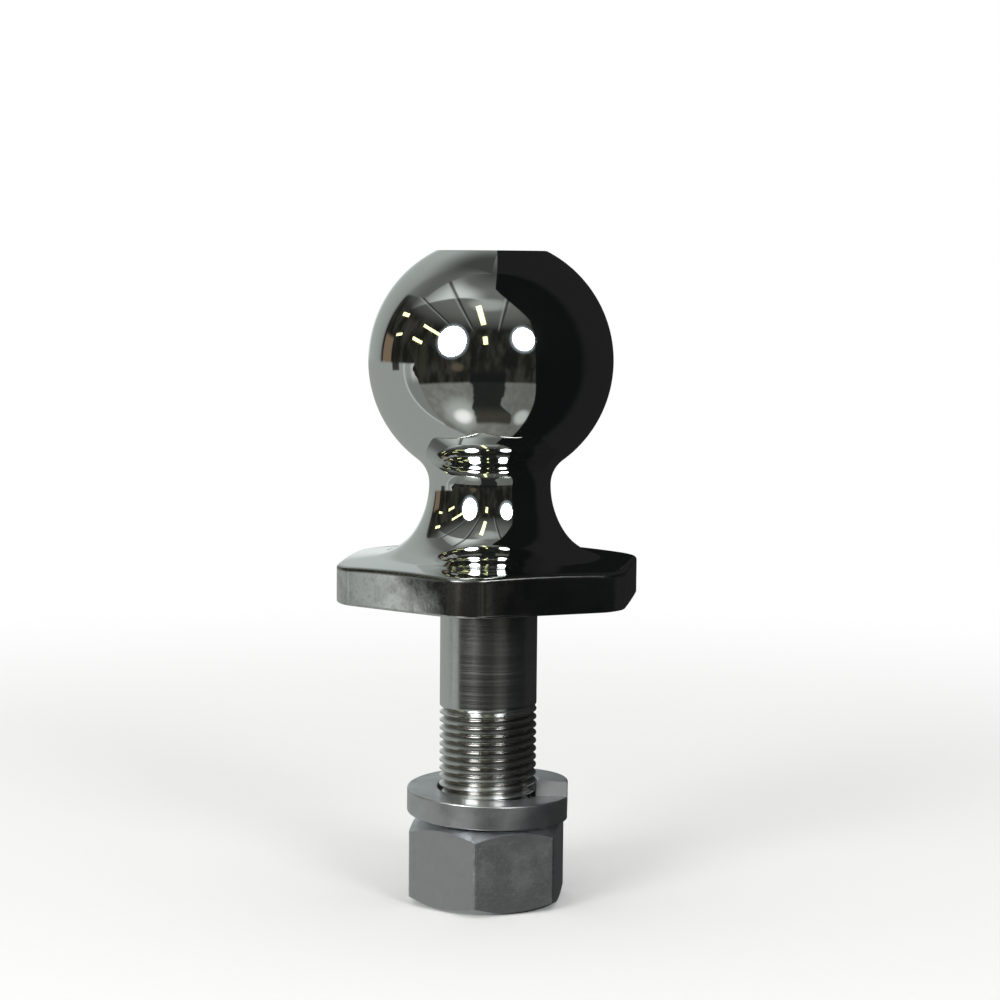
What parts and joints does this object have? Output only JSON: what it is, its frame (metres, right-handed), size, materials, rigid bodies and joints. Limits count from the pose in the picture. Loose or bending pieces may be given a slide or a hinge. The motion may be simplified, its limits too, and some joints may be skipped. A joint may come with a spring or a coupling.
{
  "type": "threaded tow ball",
  "caption": "Chromed ball on a flared neck over a hexagonal flange, with a threaded shank, spring lock washer and hex nut that fix it to a hitch platform.",
  "frame": {"origin": "on the axis, in the flange's underside, which is the seat on the hitch platform", "axes": "+Z along the shank's axis up through the ball; two corners of the hexagonal flange lie on Y and two of its flats face along X"},
  "size_m": [0.056, 0.0624, 0.1276],
  "materials": {
    "polished_chrome": "mirror-polished chrome plate, with the forged skin of the flange's sides showing through it",
    "zinc_plate": "bright zinc plate over turned and coiled steel"
  },
  "bodies": {
    "ball": {"tow_ball": "polished_chrome"},
    "washer": {"lock_washer": "zinc_plate"},
    "nut": {"hex_nut": "zinc_plate"}
  },
  "joints": [
    {"name": "nut_travel", "type": "slide", "parent": "ball", "child": "washer", "axis": [0, 0, 1], "range_m": [-0.0127, 0.02223]},
    {"name": "nut_turn", "type": "hinge", "parent": "washer", "child": "nut", "pos_m": [0, 0, -0.0519], "axis": [0, 0, 1], "range_deg": [-2880, 5040]}
  ],
  "couplings": [
    {"joint": "nut_travel", "follows": "nut_turn", "m_per_rad": 0.00025266}
  ]
}
